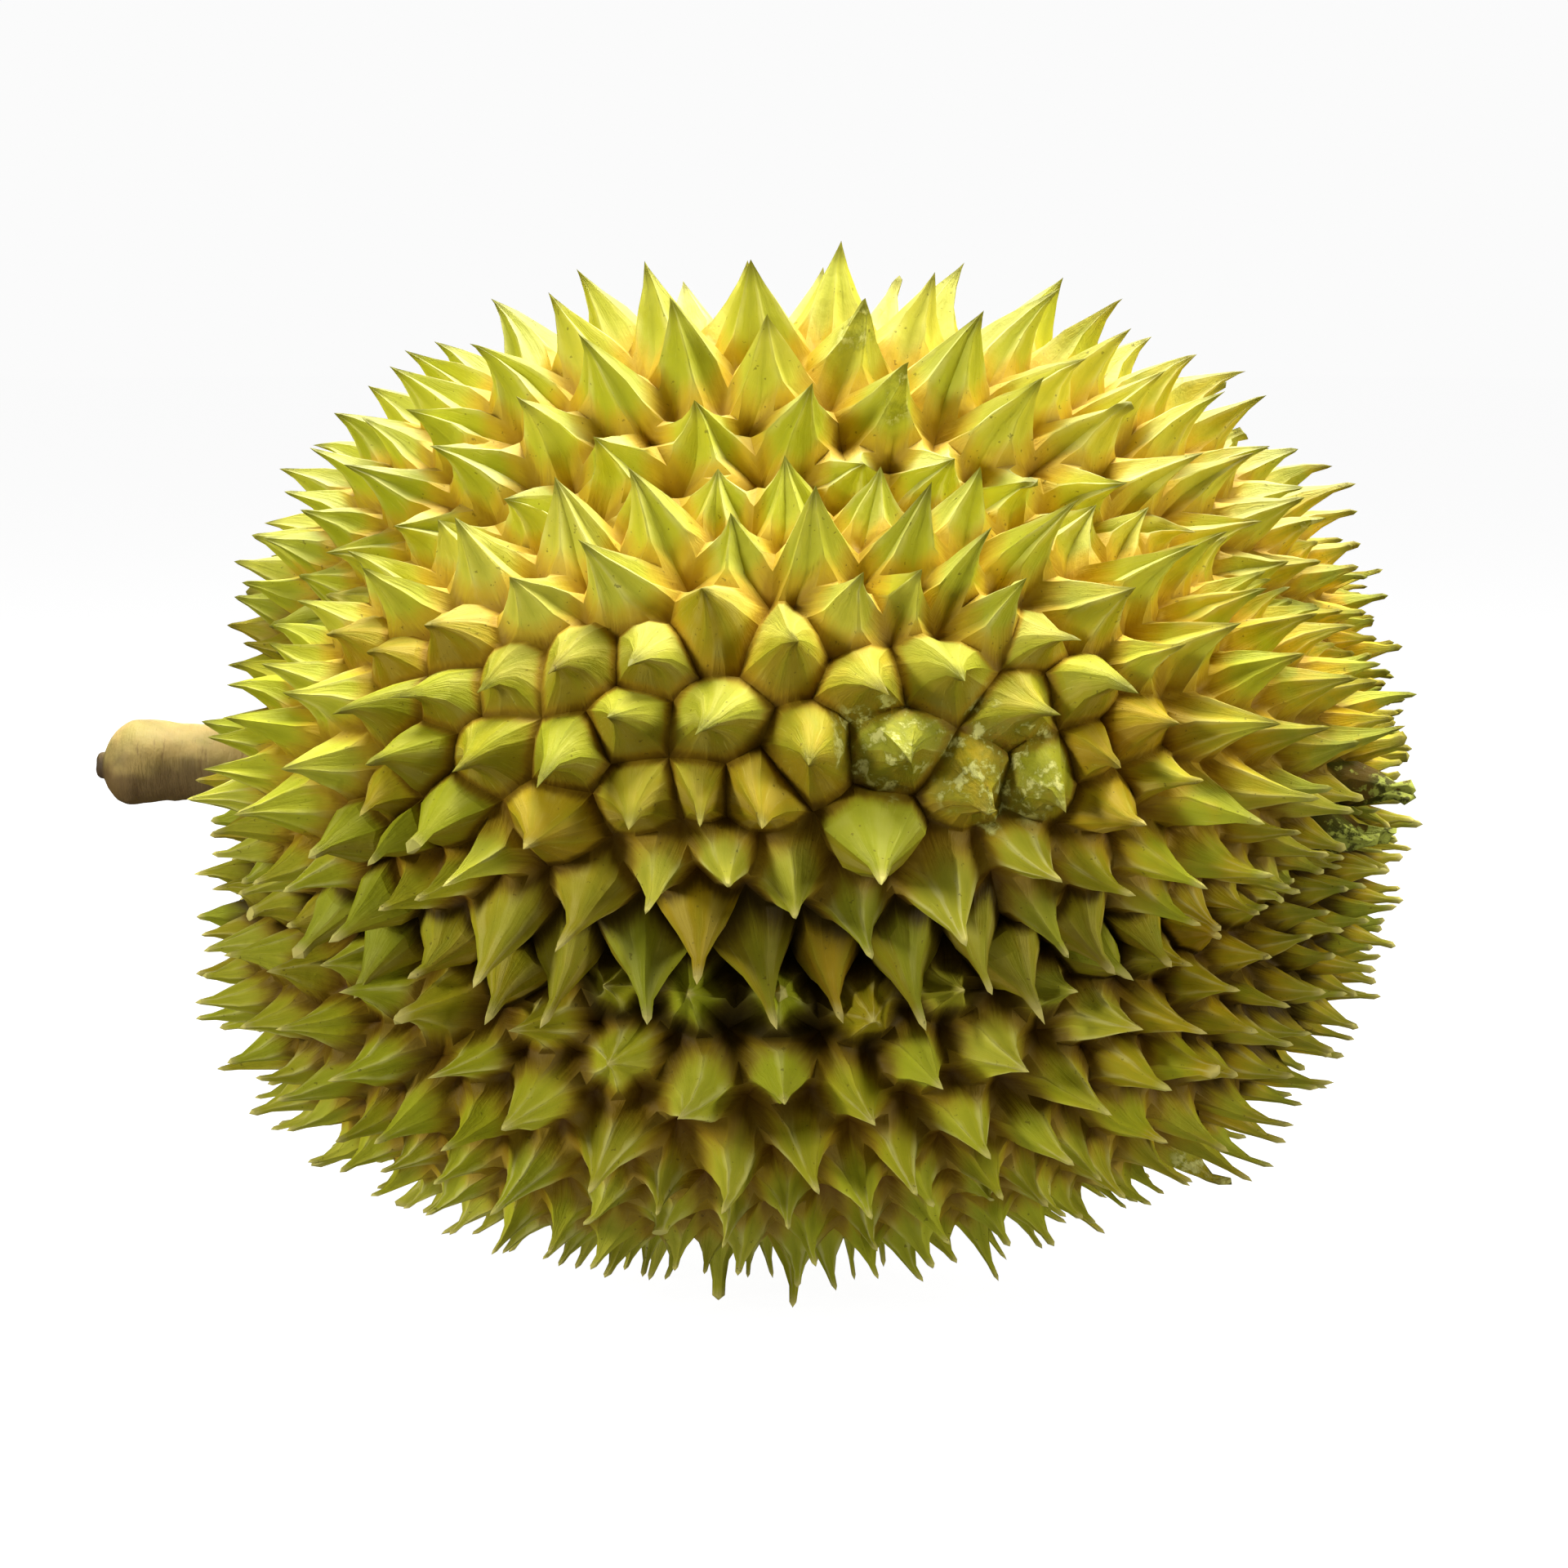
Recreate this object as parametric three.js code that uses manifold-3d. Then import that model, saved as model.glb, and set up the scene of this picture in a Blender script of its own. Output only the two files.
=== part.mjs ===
// A whole durian, lying on its side as it is put down after picking: the husk, thickly set with
// pyramid spines, and the stalk that it hung from. It is built in millimetres with +Z up and the
// stalk towards -X, and stands on z = 0 on the blunted tips of its lowest spines.
//
// The spines of a durian leave no bare skin: their feet meet along narrow valleys, so the husk is a
// tiling. Each spine starts from a site on the lobed body, the cells around the sites are the spines'
// feet, and each cell is drawn up to a point in one mesh with all the others.
import * as THREE from "three";
import { ConvexHull } from "three/addons/math/ConvexHull.js";
import { mergeVertices } from "three/addons/utils/BufferGeometryUtils.js";
import Module from "manifold-3d";

// The body under the spines. An angle around it counts from the top towards -Y.
const BODY_RADIUS = 86;
const BODY_STALK_END = 101;
const BODY_BLOSSOM_END = 114;
const BODY_RISE = 0.015; // how steeply the body's axis climbs towards the blossom end
const BODY_SQUARENESS = 2.33; // 2 is an ellipsoid, and more fills out the shoulders
const GROOVE_ANGLES = [39, 107, 190, 256, 325]; // the seams between the five lobes, in degrees
const GROOVE_DEPTHS = [13, 20, 9, 12, 12];
const LOBE_FULLNESS = 0.85; // a lower power makes flatter lobes with narrower grooves
const LOWER_LOBE_ANGLE = 118; // the front lower lobe swells furthest past the stalk
const LOWER_LOBE_SWELL = 10;
const LOWER_LOBE_WIDTH = 32;
const DIMPLE_DEPTH = 6; // the hollow that the stalk stands in
const DIMPLE_WIDTH = 20; // degrees from the stalk

// The spines.
const WAIST_SPACING = 17.2;
const BLOSSOM_SPACING = 5.6;
const STALK_SPACING = 7.4;
const SPACING_FALL = 1.8; // a higher power keeps large spines further towards the ends
const TOP_SPREAD = 0.13; // how much wider than below the spines stand on the side that lies on top
const SUTURE_PULLS = [0.5, 0.4, 0.4, 0.4, 0]; // small spines crowd along the crests of these lobes
const SUTURE_WIDTH = 15; // degrees to each side of the crest
const SUTURE_REACH = 72; // and this far along the body from its middle
const SUTURE_HEIGHT = 0.72; // they are blunter than the rest
const SLIMNESS_AT_WAIST = 0.93; // a spine's height as a share of the width of its foot
const SLIMNESS_AT_STALK = 1.1;
const SLIMNESS_AT_BLOSSOM = 1.6;
const HEIGHT_SCATTER = 0.12;
const STRAIGHT_OUT = 0.5; // a spine points between the skin's normal, at 0, and away from the core, at 1
const GROOVE_HEIGHT = 0.58; // spines are shorter in a groove, where those of both lobes lean together
const GROOVE_WIDTH = 8; // degrees to each side
const LEAN_TO_ENDS = 0.62; // how far spines lean from the waist towards the nearer end
const LOBE_SPREADS = [0.55, 0.2, 0.2, 0.2, 0.2]; // how far spines lean from a lobe's crest to its sides
const LEAN_SCATTER = 0.13;
const SITE_SCATTER = 0.42; // of the spacing, before the sites are evened out
const EVENING_ROUNDS = 2;
const SHORTEST_SIDE = 0.34; // of the spacing; a shorter side of a foot closes up into one corner
const WAIST_OF_SPINE = 0.4; // a large spine's waist: its share of the height, and of the foot's width
const WAIST_WIDTH = 0.44;
const WIDE_FOOT = 14.5; // spines with narrower feet are too small to have a waist
const BROKEN_SHARE = 0.025; // of the spines have lost their points
const BROKEN_HEIGHT = 0.6;

// The ends of the body, where no spine grows.
const STALK_SEAT_RADIUS = 11.5;
const STALK_SEAT_RISE = 4.2; // degrees above the body's axis
const BLOSSOM_SCAR_RADIUS = 5;

// The stalk, from its root in the husk to the knob where it let go of the branch.
const STALK_RADIUS = 7.4;
const STALK_KNOB_RADIUS = 8.6;
const STALK_ROOT_RADIUS = 8.6;
const STALK_ROOT_DEPTH = 8;
const STALK_ROOT_TAPER = 0.8;
const STALK_LENGTH = 36.2; // from the seat to the end of the knob
const STALK_COLLAR_END = 0.06; // this and the next three are shares of that length
const STALK_NECK_START = 0.25;
const STALK_NECK_END = 0.56;
const STALK_KNOB_START = 0.8;
const STALK_CAP_STEPS = 6;
const STALK_SIDES = 20;
const STALK_RISE = 1; // degrees that it points up
const FIT_GAP = 0.3;

// The resting place: the lowest spines stand on tips worn down to one level.
const REST_REACH = 27; // how far the footprint reaches along and across the body
const REST_DEPTH = 97.4; // from the body's axis down to the level
const REST_WEAR = 5; // how much of a point is worn away
const SLAB_SIZE = 400; // of the block that cuts the tips off, wider than the fruit

const SEED = 20;
const BARE_ENDS = 2; // the first two sites bear no spine
const HEXAGON_AREA = Math.sqrt(3) / 2; // of a hexagonal cell whose neighbours' middles are 1 away
const TURN = 2 * Math.PI;
const X_AXIS = new THREE.Vector3(1, 0, 0);
const Y_AXIS = new THREE.Vector3(0, 1, 0);
const SEAT_TURN = THREE.MathUtils.degToRad(STALK_SEAT_RISE);
const TO_STALK = X_AXIS.clone().negate().applyAxisAngle(Y_AXIS, SEAT_TURN);

function seededDraws(seed) {
  let state = seed >>> 0;
  return () => {
    state = (state + 0x6d2b79f5) >>> 0;
    let mixed = Math.imul(state ^ (state >>> 15), 1 | state);
    mixed = (mixed + Math.imul(mixed ^ (mixed >>> 7), 61 | mixed)) ^ mixed;
    return ((mixed ^ (mixed >>> 14)) >>> 0) / 2 ** 32;
  };
}

const draw = seededDraws(SEED);
const scatter = (size) => size * (2 * draw() - 1);
const bell = (distance, width) => Math.exp(-((distance / width) ** 2));

function degreesApart(a, b) {
  return Math.abs(((((a - b) % 360) + 540) % 360) - 180);
}

// The lobe at an angle around the body, and how far across it that angle is, from 0 to 1.
function lobeAt(around) {
  const after = GROOVE_ANGLES.findIndex((angle) => angle > around);
  const first = (after > 0 ? after : GROOVE_ANGLES.length) - 1;
  const second = (first + 1) % GROOVE_ANGLES.length;
  const width = (GROOVE_ANGLES[second] - GROOVE_ANGLES[first] + 360) % 360;
  return { first, second, width, share: ((around - GROOVE_ANGLES[first] + 360) % 360) / width };
}

// How far the skin lies inside the round of the body, from 0 on a lobe's crest to the groove's depth.
function lobeInset(around) {
  const { first, second, share } = lobeAt(around);
  const depth = THREE.MathUtils.lerp(GROOVE_DEPTHS[first], GROOVE_DEPTHS[second], share);
  return depth * (1 - Math.sin(Math.PI * share) ** LOBE_FULLNESS);
}

function angleAround(direction) {
  return (THREE.MathUtils.radToDeg(Math.atan2(-direction.y, direction.z)) + 360) % 360;
}

// Where a ray from the body's centre meets its skin, in the direction of a unit vector.
function skinPoint(direction) {
  const across = Math.hypot(direction.y, direction.z);
  const around = angleAround(direction);
  const fromStalk = THREE.MathUtils.radToDeg(direction.angleTo(TO_STALK));
  const end = direction.x < 0 ? BODY_STALK_END : BODY_BLOSSOM_END;
  const along = Math.abs(direction.x / end) ** BODY_SQUARENESS;
  let reach = (along + (across / BODY_RADIUS) ** BODY_SQUARENESS) ** (-1 / BODY_SQUARENESS);
  reach -= lobeInset(around) * Math.sqrt(across);
  const towardsStalk = Math.max(0, -direction.x) * across * 2; // 1 halfway to the stalk, 0 at the waist
  reach += LOWER_LOBE_SWELL * towardsStalk * bell(degreesApart(around, LOWER_LOBE_ANGLE), LOWER_LOBE_WIDTH);
  reach -= DIMPLE_DEPTH * bell(fromStalk, DIMPLE_WIDTH);
  return direction.clone().multiplyScalar(reach);
}

// A point of the body after its axis has been raised towards the blossom end.
function risen(point) {
  point.z += BODY_RISE * point.x;
  return point;
}

// The skin's outward normal in that direction.
function skinNormal(direction) {
  const step = 0.01;
  const side = new THREE.Vector3(0, 0, 1).cross(direction).normalize();
  const up = direction.clone().cross(side);
  const slope = (towards) => {
    const ahead = skinPoint(direction.clone().addScaledVector(towards, step).normalize());
    return ahead.sub(skinPoint(direction.clone().addScaledVector(towards, -step).normalize()));
  };
  return slope(side).cross(slope(up)).normalize();
}

function spacingAt(x) {
  const [end, spacing] = x < 0 ? [BODY_STALK_END, STALK_SPACING] : [BODY_BLOSSOM_END, BLOSSOM_SPACING];
  const towardsEnd = Math.min(1, Math.abs(x) / end) ** SPACING_FALL;
  return THREE.MathUtils.lerp(WAIST_SPACING, spacing, towardsEnd);
}

// Whether a direction meets the skin on the suture, the strip along a lobe's crest.
function onSuture(direction) {
  const { first, width, share } = lobeAt(angleAround(direction));
  const nearCrest = SUTURE_PULLS[first] > 0 && width * Math.abs(share - 0.5) < SUTURE_WIDTH;
  return nearCrest && Math.abs(skinPoint(direction).x) < SUTURE_REACH;
}

// The sites of the spines: a spiral from one end of the body to the other, packed to the spacing that
// each belt of the skin has, then scattered. One site more at each end keeps room for the stalk's seat
// and the blossom's scar.
function spiralSites() {
  const belts = 720;
  const goldenTurn = TURN * (1 - 1 / ((1 + Math.sqrt(5)) / 2));
  const outline = (angle) => skinPoint(new THREE.Vector3(-Math.cos(angle), 0, Math.sin(angle)));
  const filled = [{ angle: 0, count: 0 }];
  for (let i = 1; i <= belts; i += 1) {
    const before = outline((Math.PI * (i - 1)) / belts);
    const after = outline((Math.PI * i) / belts);
    const area = TURN * Math.abs(before.z + after.z) * 0.5 * before.distanceTo(after);
    const cell = HEXAGON_AREA * spacingAt(after.x) ** 2;
    filled.push({ angle: (Math.PI * i) / belts, count: filled[i - 1].count + area / cell });
  }
  const seat = skinPoint(TO_STALK);
  const scar = skinPoint(X_AXIS);
  const sites = [TO_STALK.clone(), X_AXIS.clone()];
  let belt = 1;
  for (let i = 0; i < Math.floor(filled[belts].count); i += 1) {
    while (filled[belt].count < i + 0.5) belt += 1;
    const angle = filled[belt].angle;
    const site = new THREE.Vector3(-Math.cos(angle), 0, Math.sin(angle));
    site.applyAxisAngle(X_AXIS, i * goldenTurn);
    const start = skinPoint(site);
    const spacing = spacingAt(start.x);
    const step = (SITE_SCATTER * spacing) / start.length();
    site.add(new THREE.Vector3(scatter(step), scatter(step), scatter(step))).normalize();
    const fromTop = THREE.MathUtils.degToRad(angleAround(site));
    site.applyAxisAngle(X_AXIS, TOP_SPREAD * Math.sin(fromTop));
    const { first, width, share } = lobeAt(angleAround(site));
    const pastCrest = width * (share - 0.5);
    const pull = SUTURE_PULLS[first] * pastCrest * bell(pastCrest, SUTURE_WIDTH);
    site.applyAxisAngle(X_AXIS, THREE.MathUtils.degToRad(pull));
    const twins = onSuture(site) ? [-step / 2, step / 2] : [0];
    for (const shift of twins) {
      const moved = site.clone().addScaledVector(X_AXIS, shift).normalize();
      const skin = skinPoint(moved);
      const clearOfSeat = skin.distanceTo(seat) > STALK_SEAT_RADIUS + spacing / 2;
      if (clearOfSeat && skin.distanceTo(scar) > BLOSSOM_SCAR_RADIUS + spacing / 2) sites.push(moved);
    }
  }
  return sites;
}

// The cells around the sites. Three cells meet at each corner, which is the middle of one triangle of
// the sites' convex hull. Each cell lists its corners in order around its site.
function cellsAround(sites) {
  const hull = new ConvexHull().setFromPoints(sites);
  const siteOf = new Map(sites.map((site, i) => [site, i]));
  const cells = sites.map(() => []);
  const corners = hull.faces.map((face, i) => {
    let edge = face.edge;
    do {
      cells[siteOf.get(edge.head().point)].push(i);
      edge = edge.next;
    } while (edge !== face.edge);
    return face.normal.clone();
  });
  cells.forEach((cell, i) => {
    const side = corners[cell[0]].clone().sub(sites[i]).projectOnPlane(sites[i]).normalize();
    const up = sites[i].clone().cross(side);
    const turnOf = (corner) => Math.atan2(corners[corner].dot(up), corners[corner].dot(side));
    cell.sort((a, b) => turnOf(a) - turnOf(b));
  });
  return { corners, cells };
}

function middleOf(points) {
  const sum = points.reduce((total, point) => total.add(point), new THREE.Vector3());
  return sum.divideScalar(points.length);
}

function evenOut(sites) {
  for (let round = 0; round < EVENING_ROUNDS; round += 1) {
    const { corners, cells } = cellsAround(sites);
    for (let i = BARE_ENDS; i < sites.length; i += 1)
      sites[i] = middleOf(cells[i].map((corner) => skinPoint(corners[corner]))).normalize();
  }
  return sites;
}

// The feet of the spines on the skin. A side much shorter than the rest closes up into one corner.
function feetOf(sites) {
  const { corners, cells } = cellsAround(sites);
  const points = corners.map((corner) => risen(skinPoint(corner)));
  const joined = points.map((_, i) => i);
  const closed = new Set();
  const sizes = cells.map((cell) => cell.length);
  const owners = points.map(() => []);
  cells.forEach((cell, i) => cell.forEach((corner) => owners[corner].push(i)));
  cells.forEach((cell) => {
    cell.forEach((a, i) => {
      const b = cell[(i + 1) % cell.length];
      const shared = owners[a].filter((owner) => owners[b].includes(owner));
      const short = points[a].distanceTo(points[b]) < SHORTEST_SIDE * spacingAt(points[a].x);
      if (!short || closed.has(a) || closed.has(b) || shared.some((owner) => sizes[owner] < 5)) return;
      points[a].lerp(points[b], 0.5);
      joined[b] = a;
      closed.add(a).add(b);
      shared.forEach((owner) => {
        sizes[owner] -= 1;
      });
    });
  });
  const feet = cells.map((cell) => [...new Set(cell.map((corner) => joined[corner]))]);
  return { points, feet };
}

// A spine's height and the way that it points, from the middle of its foot and the foot's width.
function spineOf(middle, width) {
  const straightOut = middle.clone().normalize();
  const towardsEnd = middle.x / (middle.x < 0 ? BODY_STALK_END : BODY_BLOSSOM_END);
  const { first, width: lobeWidth, share } = lobeAt(angleAround(straightOut));
  const fromGroove = lobeWidth * Math.min(share, 1 - share);

  const slimnessAtEnd = middle.x < 0 ? SLIMNESS_AT_STALK : SLIMNESS_AT_BLOSSOM;
  const slimness = THREE.MathUtils.lerp(SLIMNESS_AT_WAIST, slimnessAtEnd, towardsEnd ** 2);
  let height = slimness * width * (1 + scatter(HEIGHT_SCATTER));
  height *= 1 - (1 - GROOVE_HEIGHT) * bell(fromGroove, GROOVE_WIDTH);
  if (onSuture(straightOut)) height *= SUTURE_HEIGHT;
  if (draw() < BROKEN_SHARE) height *= BROKEN_HEIGHT;

  const way = skinNormal(straightOut).lerp(straightOut, STRAIGHT_OUT);
  way.x += LEAN_TO_ENDS * towardsEnd;
  const sideways = new THREE.Vector3(0, -straightOut.z, straightOut.y);
  way.addScaledVector(sideways, LOBE_SPREADS[first] * (2 * share - 1));
  way.add(new THREE.Vector3(scatter(LEAN_SCATTER), scatter(LEAN_SCATTER), scatter(LEAN_SCATTER)));
  return { height, way: way.normalize() };
}

// Spines that the fruit lies on end a little below the level that their tips are worn to.
function tipOf(middle, height, way) {
  const tip = middle.clone().addScaledVector(way, height);
  const underneath = Math.hypot(tip.x, tip.y) < REST_REACH && tip.z < 0;
  if (underneath || tip.z < -REST_DEPTH) tip.z = -REST_DEPTH - REST_WEAR;
  return tip;
}

function huskGeometry() {
  const { points, feet } = feetOf(evenOut(spiralSites()));
  const vertices = points.map((point) => point.clone());
  const triangles = [];
  const add = (vertex) => vertices.push(vertex) - 1;
  feet.forEach((foot, i) => {
    const middle = middleOf(foot.map((corner) => points[corner]));
    if (i < BARE_ENDS) {
      const centre = add(middle);
      foot.forEach((corner, k) => triangles.push(corner, foot[(k + 1) % foot.length], centre));
      return;
    }
    const span = foot.reduce((sum, corner) => sum + points[corner].distanceTo(middle), 0);
    const width = (2 * span) / foot.length;
    const { height, way } = spineOf(middle, width);
    const tip = add(tipOf(middle, height, way));
    const ring = width < WIDE_FOOT ? foot : foot.map((corner) => {
      const inside = middle.clone().lerp(points[corner], WAIST_WIDTH);
      return add(inside.addScaledVector(way, height * WAIST_OF_SPINE));
    });
    foot.forEach((corner, k) => {
      const next = (k + 1) % foot.length;
      triangles.push(ring[k], ring[next], tip);
      if (ring !== foot) triangles.push(corner, foot[next], ring[next], corner, ring[next], ring[k]);
    });
  });
  return new THREE.BufferGeometry().setFromPoints(vertices).setIndex(triangles);
}

// The stalk about the Y axis of a lathe, turned to point out of the seat along -X. The gap widens it
// all over, which makes the cutter for its hole.
function stalkGeometry(gap = 0) {
  const root = -STALK_ROOT_DEPTH - gap;
  const end = STALK_LENGTH + gap;
  const knob = STALK_KNOB_RADIUS + gap;
  const knobFoot = STALK_LENGTH * STALK_KNOB_START;
  const outline = [[0, root], [STALK_ROOT_RADIUS * STALK_ROOT_TAPER + gap, root]];
  outline.push([STALK_ROOT_RADIUS + gap, STALK_LENGTH * STALK_COLLAR_END]);
  outline.push([STALK_RADIUS + gap, STALK_LENGTH * STALK_NECK_START]);
  outline.push([STALK_RADIUS + gap, STALK_LENGTH * STALK_NECK_END]);
  for (let i = 0; i < STALK_CAP_STEPS; i += 1) {
    const turn = (Math.PI / 2) * (i / STALK_CAP_STEPS);
    outline.push([knob * Math.cos(turn), knobFoot + (end - knobFoot) * Math.sin(turn)]);
  }
  outline.push([0, end]);
  const points = outline.map(([radius, along]) => new THREE.Vector2(radius, along));
  const geometry = new THREE.LatheGeometry(points, STALK_SIDES);
  return geometry.rotateZ(Math.PI / 2).rotateY(THREE.MathUtils.degToRad(STALK_RISE));
}

const wasm = await Module();
wasm.setup();

function solidOf(geometry) {
  const bare = geometry.clone().deleteAttribute("normal").deleteAttribute("uv");
  const merged = mergeVertices(bare, 1e-4);
  const triVerts = new Uint32Array(merged.index.array);
  const vertProperties = merged.attributes.position.array;
  return new wasm.Manifold(new wasm.Mesh({ numProp: 3, vertProperties, triVerts }));
}

function geometryOf(solid) {
  const { vertProperties, triVerts } = solid.getMesh();
  const geometry = new THREE.BufferGeometry();
  geometry.setAttribute("position", new THREE.BufferAttribute(vertProperties, 3));
  geometry.setIndex(new THREE.BufferAttribute(triVerts, 1));
  return geometry;
}

// The level is cut with a slab under it, and the stalk's hole with a slightly larger stalk.
function finishedHusk(seat) {
  const slab = new THREE.BoxGeometry(SLAB_SIZE, SLAB_SIZE, SLAB_SIZE);
  slab.translate(0, 0, -REST_DEPTH - SLAB_SIZE / 2);
  const hole = stalkGeometry(FIT_GAP).translate(seat.x, seat.y, seat.z);
  return geometryOf(solidOf(huskGeometry()).subtract(solidOf(slab)).subtract(solidOf(hole)));
}

function skin(color, roughness) {
  return new THREE.MeshStandardMaterial({ color, roughness, metalness: 0 });
}

function part(name, geometry, material) {
  const mesh = new THREE.Mesh(geometry, material);
  mesh.name = name;
  return mesh;
}

const seat = risen(skinPoint(TO_STALK));
const husk = part("husk", finishedHusk(seat), skin(0xb9ae3c, 0.55));
const stalk = part("stalk", stalkGeometry(), skin(0xa98a4e, 0.8));
stalk.position.copy(seat);

const durian = new THREE.Group();
durian.add(husk, stalk);

// The origin is on the surface that the fruit lies on, under the middle of its outline.
const extent = new THREE.Box3().setFromObject(durian, true);
const middle = extent.getCenter(new THREE.Vector3());
durian.position.set(-middle.x, -middle.y, -extent.min.z);

export default durian;
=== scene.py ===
# %% [markdown]
# # A whole durian lying on its side
#
# A durian is a heavy green-yellow fruit, set all over with hard pyramid spines, and it hangs from
# a thick stalk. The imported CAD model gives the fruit's size, its lobes and where each spine
# stands. It could be shown as it is, but its spines are flat-sided cones. So this lesson reads
# each spine's foot and tip from the model and grows a finer spine there, with ridges, hollow
# flanks and a blunt tip, and then paints rind and stalk with procedural finishes. Noise would
# start from the clock, so it gets a seed, and every run gives the same fruit.

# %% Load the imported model
import math
import random
import bpy
import bmesh
from mathutils import Matrix, Vector, noise
from mathutils.kdtree import KDTree


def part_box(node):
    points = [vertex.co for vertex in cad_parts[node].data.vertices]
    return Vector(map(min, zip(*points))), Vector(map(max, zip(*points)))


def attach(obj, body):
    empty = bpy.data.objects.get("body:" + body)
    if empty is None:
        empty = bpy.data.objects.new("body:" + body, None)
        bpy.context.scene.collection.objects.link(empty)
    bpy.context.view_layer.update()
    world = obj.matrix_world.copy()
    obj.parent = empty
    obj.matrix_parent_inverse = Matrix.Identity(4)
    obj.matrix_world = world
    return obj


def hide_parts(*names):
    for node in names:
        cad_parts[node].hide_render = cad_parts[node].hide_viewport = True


NOISE_SEED = 7

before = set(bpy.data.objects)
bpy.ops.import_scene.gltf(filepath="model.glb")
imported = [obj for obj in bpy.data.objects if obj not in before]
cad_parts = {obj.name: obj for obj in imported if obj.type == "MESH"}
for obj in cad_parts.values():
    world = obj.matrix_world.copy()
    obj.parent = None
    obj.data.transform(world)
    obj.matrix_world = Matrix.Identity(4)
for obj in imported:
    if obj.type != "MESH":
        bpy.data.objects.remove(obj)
noise.seed_set(NOISE_SEED)
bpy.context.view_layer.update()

# %% [markdown]
# ## Reading the spines
#
# The CAD husk is one closed mesh. Where two spines meet, the surface turns in sharply, and
# nowhere else. Such an edge is a valley. The valleys cut the mesh into islands of faces, and each
# island is one spine: its rim is the spine's foot and its highest point is the tip. A list of
# places copied from the CAD source would do the same, but it would be wrong after any change
# there, so the spines are found in the mesh itself.

# %% Join the husk's loose triangles and find its valleys
VALLEY_TURN = math.radians(50)
MERGE_REACH = 2e-6

husk = bmesh.new()
husk.from_mesh(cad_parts["husk"].data)
owner = husk.faces.layers.int.new("spine")
side_number = husk.edges.layers.int.new("side")
bmesh.ops.remove_doubles(husk, verts=husk.verts, dist=MERGE_REACH)
husk.verts.index_update()
valleys = {e for e in husk.edges if e.calc_face_angle_signed() < -VALLEY_TURN}
print("valley edges:", len(valleys))


# %% Gather the faces between the valleys
def island_from(start, walls, seen):
    """All faces that can be reached from one face without crossing a wall."""
    waiting = [start]
    seen.add(start)
    island = []
    while waiting:
        face = waiting.pop()
        island.append(face)
        for edge in face.edges:
            if edge in walls:
                continue
            for other in edge.link_faces:
                if other not in seen:
                    seen.add(other)
                    waiting.append(other)
    return island


seen_faces = set()
islands = [island_from(f, valleys, seen_faces) for f in husk.faces if f not in seen_faces]
print("islands:", len(islands))

# %% [markdown]
# ## The stalk's seat
#
# The stalk stands in a socket at the fruit's end. The socket's walls and floor are islands too,
# but not spines. Their faces are deleted and the gap is closed with one face, which becomes the
# bare collar round the stalk.

# %% Measure the stalk and close the socket
_, STALK_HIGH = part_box("stalk")
ROOT_SLICE = 0.0005
SOCKET_REACH = 0.0095
SOCKET_CORNERS = 10

stalk_places = [v.co.copy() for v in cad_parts["stalk"].data.vertices]
root_rim = [place for place in stalk_places if place.x > STALK_HIGH.x - ROOT_SLICE]
STALK_ROOT = sum(root_rim, Vector()) / len(root_rim)
STALK_END = min(stalk_places, key=lambda place: place.x)
STALK_OUT = (STALK_END - STALK_ROOT).normalized()
STALK_LENGTH = (STALK_END - STALK_ROOT).length


def off_stalk(place):
    """How far a place is from the stalk's centre line."""
    arm = place - STALK_ROOT
    return (arm - STALK_OUT * arm.dot(STALK_OUT)).length


def is_socket(island):
    corners = {v for f in island for v in f.verts}
    return sum(v.co.x < 0 and off_stalk(v.co) < SOCKET_REACH for v in corners) > SOCKET_CORNERS


socket = [f for island in islands if is_socket(island) for f in island]
islands = [island for island in islands if not is_socket(island)]
print("socket faces:", len(socket), "spines:", len(islands))

# %% [markdown]
# ## Wounds and the blossom's scar
#
# A fruit that was carried about has places where spines are bruised or torn off, and at the end
# away from the stalk a dry scar stays where the flower sat. They could be painted on, but a
# wound is a change of shape as much as of colour. So each place is given once, by its middle
# and its reach, and the spines, the skin and the finish all read it. Noise frays the edges.

# %% Say where the rind is damaged
SCAR = Vector((0.1165, -0.042, 0.0935))
SCAR_REACH = 0.0165
FRAY_SCALE = 350
FRAY = 0.35
WOUND_EDGE = (0.45, 1.0)
DAMAGED = (
    (Vector((0.022, -0.087, 0.118)), 0.012),
    (Vector((0.042, -0.085, 0.113)), 0.015),
    (Vector((0.020, -0.032, 0.188)), 0.008),
    (Vector((0.026, -0.046, 0.176)), 0.006),
    (Vector((0.091, 0.001, 0.165)), 0.009),
    (Vector((0.081, 0.001, 0.177)), 0.006),
    (Vector((0.106, -0.023, 0.152)), 0.007),
    (Vector((0.085, -0.033, 0.029)), 0.009),
    (Vector((0.104, -0.052, 0.138)), 0.006),
)


def between(low, high, value):
    """0 below low, 1 above high, and a smooth step from one to the other."""
    share = min(max((value - low) / (high - low), 0.0), 1.0)
    return share * share * (3 - 2 * share)


def damage_at(place):
    """How badly the rind is torn at a place: 0 where it is sound, 1 in the middle of a wound."""
    ragged = noise.noise(place * FRAY_SCALE) * FRAY
    away = [(place - spot).length / reach + ragged for spot, reach in DAMAGED]
    return max(1 - between(*WOUND_EDGE, share) for share in away)


print("wounds:", len(DAMAGED), "widest: %.3f m" % max(2 * reach for _, reach in DAMAGED))

# %% [markdown]
# ## Measuring each spine
#
# Every spine grows in its own way: big ones stand on the flanks of a lobe, low blocky ones on
# its crest, and small ones crowd round the stalk. The CAD cone gives the foot and the tip. From
# its place and its build the lesson tells what kind of spine it is, as shares from 0 to 1, and
# moves the tip a little. The chance in it comes from a dice of its own for each spine, seeded
# with the foot's place.

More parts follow.
